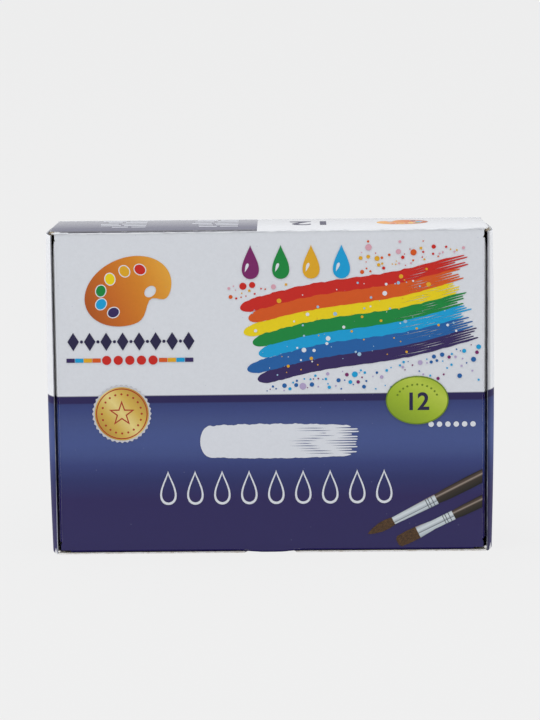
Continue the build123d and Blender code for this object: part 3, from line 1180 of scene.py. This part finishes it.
def print_seal():
    """A plain gold seal with a scalloped rim, a red ring and a star."""
    x, y = centre = (-57.2, 54.1)
    radius, scallops, scallop_depth = 11.1, 36, 0.28
    gold = make_shaded_ink(
        "pale_gold", (x, 0, y), (0, -38, 0), radius,
        [(0.0, "#B98A35"), (0.3, "#D9B552"), (0.52, "#F0DB8C"), (0.72, "#DDB955"), (1.0, "#BC8C38")],
    )
    silver = make_ink("rim_silver", "#CFCFD4", 0.28)
    red = make_ink("seal_red", "#B0301F")

    def scalloped(angle):
        reach = radius + scallop_depth * math.cos(scallops * angle)
        return x + reach * math.cos(angle), y + reach * math.sin(angle)

    layers = [
        (silver, [once_round(4 * scallops, scalloped)], 0),
        (gold, [circle(centre, radius - 0.75, 72)], 1),
        (red, [circle(centre, radius - 1.25, 72), circle(centre, radius - 1.65, 72)[::-1]], 2),
        (red, [moved(star(5, 5.2, 2.1), centre), moved(star(5, 3.9, 1.5), centre)[::-1]], 2),
        (red, [circle(stud, 0.42, 12) for stud in circle(centre, 7.6, 20)], 2),
    ]
    print_motif("print_seal", layers)


def print_blue_field():
    """On the blue: a broad white stroke, a row of drop outlines, a green badge with 12, and a row of dots."""
    stroke = [moved(line, (0.6, 43.0)) for line in brush_stroke(56.0, 13.4, random.Random(5))]
    print_motif("print_white_stroke", [(white_ink, stroke, 0)])
    drops = []
    for i in range(9):
        x, y = -39.9 + 10.35 * i, 25.1
        drops.append(moved(drop(13.4, 7.4), (x, y), -90))
        drops.append(moved(drop(11.2, 5.7), (x, y - 0.15), -90)[::-1])
    print_motif("print_drop_row", [(white_ink, drops, 0)])
    middle, up = badge_centre = (55.6, 58.4)
    leaf = make_shaded_ink(
        "leaf_green", (middle, 0, up), (0, -60, 0), 10.5,
        [(0.0, "#86A322"), (0.45, "#A5BF2F"), (0.8, "#BFD24C"), (1.0, "#A9C136")],
    )
    edge = make_ink("leaf_green_edge", "#6F8A1C")
    bearings = [math.radians(bearing) for bearing in range(20, 161, 14)]
    beads = [circle((middle + 8.0 * math.cos(a), up + 6.1 * math.sin(a)), 0.42, 12) for a in bearings]
    films = [
        print_film("badge_edge", edge, [ellipse(badge_centre, 12.0, 9.4)], 7),
        print_film("badge_ground", leaf, [ellipse(badge_centre, 11.5, 8.9)], 8),
        print_film("badge_beads", edge, beads, 9),
        number_film("badge_number", "12", 9.4, (middle, up - 0.8), 9, on_lid),
    ]
    join_films("print_badge", films)
    dots = [circle((60.9 + 3.2 * i, 49.0), 1.05, 20) for i in range(6)]
    print_motif("print_dot_row", [(white_ink, dots, 0)])


def print_brush(name, tip, bearing, hair, ferrule, handle, dark_line):
    """A paintbrush whose handle runs off the lid's edge: hair, a bright ferrule and a dark handle.

    hair, ferrule and handle are half outlines from the tip on: (distance, half width) pairs.
    """
    centre = (tip[0], 0, tip[1])
    across, along = (0, -(bearing + 90), 0), (0, -bearing, 0)
    material, tree = new_material(f"offset_ink_{name}_hair")
    spots = millimetres(tree, centre=centre, turn=along, stretch=(5.0, 1.0, 0.28))
    strands = add(tree, "TexNoise", {"Vector": spots, "Detail": 3.0})
    browns = [(0.34, "#1F150D"), (0.48, "#46301C"), (0.60, "#664828"), (0.74, "#8A6640")]
    print_finish(tree, add(tree, "ValToRGB", [strands], browns))
    metal = make_shaded_ink(
        f"{name}_ferrule", centre, across, max(half for _, half in ferrule),
        [
            (0.0, "#8B949C"), (0.14, "#C0CAD0"), (dark_line - 0.04, "#D5DEE2"), (dark_line, "#3C4146"),
            (dark_line + 0.05, "#B4BEC4"), (0.66, "#E4EBEE"), (0.88, "#C2CCD0"), (1.0, "#8A6F74"),
        ],
    )
    lacquer = make_shaded_ink(
        f"{name}_handle", centre, across, max(half for _, half in handle),
        [
            (0.0, "#120E0B"), (0.30, "#2A241C"), (0.56, "#3A3028"), (0.70, "#A39588"), (0.76, "#5A4A40"),
            (1.0, "#1C1512"),
        ],
    )
    ring = make_ink(f"{name}_ring", "#5A6066")

    def whole(half_outline):
        return [moved(half_outline + [(x, -y) for x, y in half_outline[::-1] if y], tip, bearing)]

    end, front = ferrule[-1]
    starts = [end - back for back in (1.7, 3.1, 4.1)]
    rings = [moved(box_outline(start, -front, start + 0.3, front), tip, bearing) for start in starts]
    films = [
        print_film("handle", lacquer, whole(handle), 1),
        print_film("hair", material, whole(hair), 1),
        print_film("ferrule", metal, whole(ferrule), 2),
        print_film("rings", ring, rings, 3),
    ]
    brush = join_films(name, films)
    edge = (lid_half_width - flap_crease_radius) * X_AXIS * MM
    choose(brush, lambda p: True)
    bpy.ops.mesh.bisect(plane_co=edge, plane_no=X_AXIS, clear_outer=True, use_fill=True, threshold=1e-7)
    leave_edit()


def print_top():
    """On the top, reading from behind: a plain 12 and a palette on white, and white dashes on navy."""
    number = number_film("top_number", "12", 17.4, (-16.4, -4.8), 0, on_top)
    join_films("print_top_number", [number], "carton")
    shading = make_shaded_ink("amber_shading_of_the_top", (51.4, 5.0, 0), (0, 0, 190), 9.6, amber)
    print_palette("print_top_palette", (-51.4, -5.0), 10, 0.58, "carton", on_top, shading)
    dice = random.Random(8)
    dashes = []
    for start in (12.0, 47.5):
        for row in range(5):
            x, low = start, 3.2 - 5.2 * row
            for _ in range(dice.choice((2, 2, 3))):
                long = dice.uniform(5.0, 10.0)
                dashes.append(box_outline(x, low, x + long, low + 1.7))
                x += long + 1.3
    print_motif("print_top_dashes", [(white_ink, dashes, 0)], "carton", on_top)


def print_back():
    """On the back: a chart of the twelve colours with plain numbers."""
    films, pitch, first_row = [], 25.0, 108.0
    ring = make_ink("chart_ring", "#9A9CA6")
    for i, code in enumerate(paint_codes.values()):
        row, column = divmod(i, 6)
        x, y = (column - 2.5) * pitch, first_row - pitch * row
        paint = make_ink(f"chart_{i + 1:02d}", code)
        films.append(print_film("ring", ring, [circle((x, y), 7.6, 48)], 0, on_back))
        films.append(print_film("patch", paint, [circle((x, y), 7.3, 48)], 1, on_back))
        films.append(number_film("number", f"{i + 1}", 5.0, (x, y - 11.4), 0, on_back))
    join_films("print_colour_chart", films, "carton")


print_wave()
print_lid_left()
print_seal()
print_blue_field()
print_brush(
    "print_round_brush", (36.6, 6.4), 27.0,
    [(0, 0), (0.5, 0.4), (2.5, 1.15), (5.5, 1.85), (8.6, 1.95), (11.4, 1.5)],
    [(11.0, 1.45), (24.0, 1.9), (29.5, 2.05)],
    [(29.2, 1.9), (34.0, 2.3), (44.0, 2.5), (60.0, 2.2)],
    dark_line=0.34,
)
print_brush(
    "print_flat_brush", (47.9, 3.0), 26.0,
    [(0, 0), (0.1, 1.3), (0.9, 2.25), (5.0, 2.5), (9.2, 2.4)],
    [(8.8, 2.4), (15.5, 1.75), (24.0, 1.85)],
    [(23.7, 1.7), (28.0, 2.05), (36.0, 2.25), (60.0, 2.0)],
    dark_line=0.42,
)
print_top()
print_back()

# Jars, light, floor and camera


def dress_jars():
    """Jars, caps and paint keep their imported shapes, and each gets the material of its slot."""
    made = {"jar_polypropylene": make_jar_plastic()}
    for name, code in paint_codes.items():
        made[f"cap_{name}"] = make_cap_plastic(name, code)
        made[f"paint_{name}"] = make_paint_paste(name, code)
    for row in frame["record"]["subparts"]:
        if row["material_slot"] in made:
            piece = frame["nodes"][row["node"]]
            piece.data.materials.clear()
            dress(piece, made[row["material_slot"]])


def make_floor():
    """A plain pale floor, which keeps the object's shadow."""
    floor = add_primitive("floor", bpy.ops.mesh.primitive_plane_add, size=40, location=(0, 8, -foot_sag * MM))
    material, tree = new_material("matte_white_paper_backdrop")
    rays = add(tree, "LightPath").node.outputs
    seen = add(tree, "Math", [rays["Is Camera Ray"], rays["Is Glossy Ray"]], operation="MAXIMUM")
    seen = add(tree, "Math", [seen, rays["Is Transmission Ray"]], operation="MAXIMUM")
    bounce = add(tree, "BsdfDiffuse", {"Color": linear("#CBCBCB")})
    shadowed = add(tree, "BsdfDiffuse", {"Color": [0.04, 0.04, 0.04, 1.0]})
    glow = add(tree, "Emission", {"Color": linear("#EEEEEE"), "Strength": 0.96})
    pale = add(tree, "AddShader", [shadowed, glow])
    add(tree, "OutputMaterial", [add(tree, "MixShader", [seen, bounce, pale])])
    dress(floor, material)


def make_light():
    """A white studio: an even world, and a large softbox above and in front."""
    world = bpy.data.worlds.new("white_studio")
    world.use_nodes = True
    tree = world.node_tree
    tree.nodes.clear()
    x, y, _ = add(tree, "SeparateXYZ", [add(tree, "TexCoord").node.outputs["Generated"]]).node.outputs
    sideways = add(tree, "Math", [x, 2.0], operation="POWER")
    behind = add(
        tree, "MapRange",
        {"Value": y, "From Max": 0.8, "To Min": world_base, "To Max": world_base + world_back},
    )
    power = add(tree, "Math", [sideways, world_side, behind], operation="MULTIPLY_ADD")
    glow = add(tree, "Background", {"Color": linear("#FBFCFF"), "Strength": power})
    add(tree, "OutputWorld", [glow])
    bpy.context.scene.world = world
    lamp = bpy.data.lights.new("softbox", "AREA")
    lamp.shape = "RECTANGLE"
    lamp.size, lamp.size_y = softbox_size
    lamp.energy = softbox_power
    softbox = add_object("softbox", lamp)
    softbox.location = softbox_place
    softbox.rotation_euler = (softbox_aim - softbox_place).to_track_quat("-Z", "Y").to_euler()


def make_camera():
    """The photograph's view: from straight in front and a little above, from about a metre."""
    lens = bpy.data.cameras.new("camera")
    lens.sensor_width = 36
    lens.lens = camera_lens
    lens.clip_start, lens.clip_end = 0.05, 60
    camera = add_object("camera", lens)
    camera.location = camera_place
    camera.rotation_euler = Euler([math.radians(a) for a in camera_turn])
    bpy.context.scene.camera = camera


dress_jars()
make_floor()
make_light()
make_camera()
bpy.context.scene.view_settings.view_transform = "Standard"
